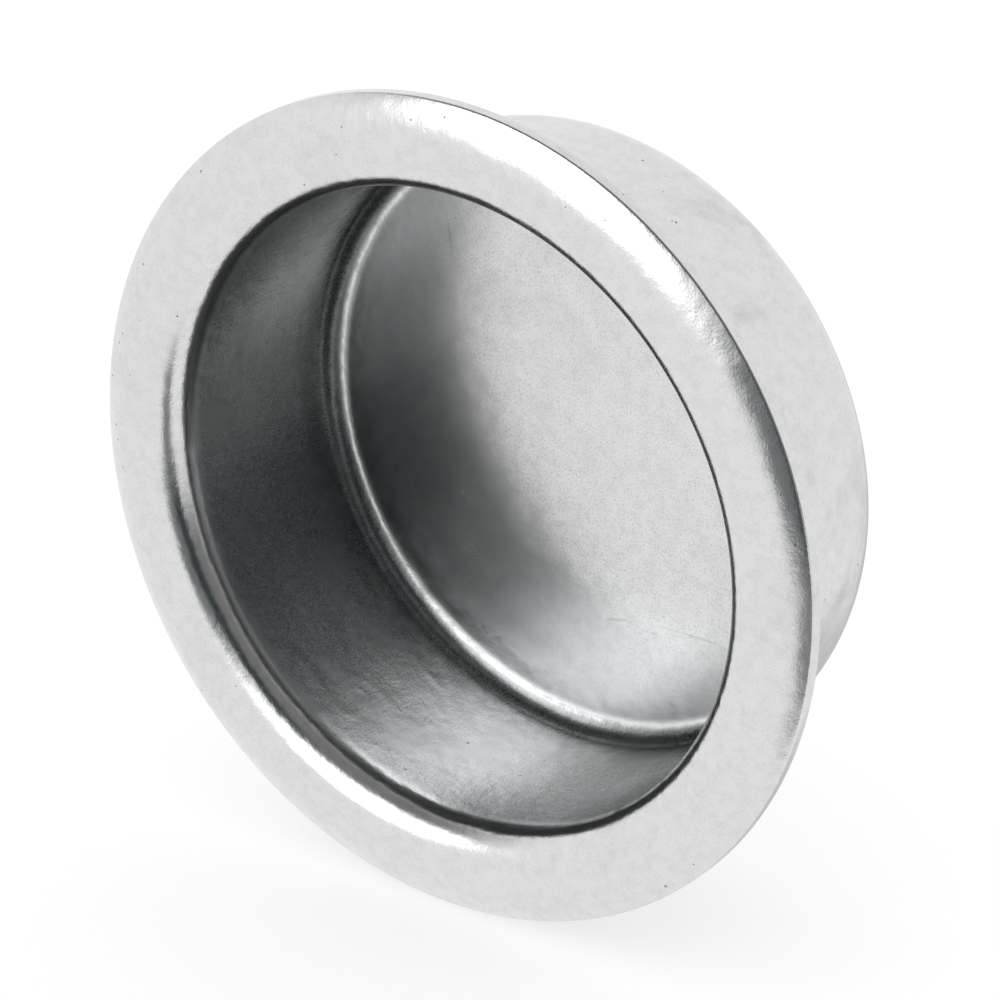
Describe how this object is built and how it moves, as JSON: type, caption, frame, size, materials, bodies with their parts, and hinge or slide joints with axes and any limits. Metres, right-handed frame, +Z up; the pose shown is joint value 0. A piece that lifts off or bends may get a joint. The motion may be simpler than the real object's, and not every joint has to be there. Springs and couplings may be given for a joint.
{
  "type": "round flush pull",
  "caption": "Round recessed cup pull pressed from one sheet: a straight-walled cup with a flat closed floor, a softly rolled mouth and a domed flange.",
  "frame": {"origin": "centre of the flange's turned edge, on the plane that rests on the door's face", "axes": "+Y into the door along the cup's axis, the flange's face looks along -Y, +Z up as the pull is fitted in an upright door"},
  "size_m": [0.054, 0.0172, 0.054],
  "materials": {
    "bright_metal": "bright satin polish over drawn sheet"
  },
  "bodies": {
    "root": {"pull_cup": "bright_metal"}
  },
  "joints": []
}
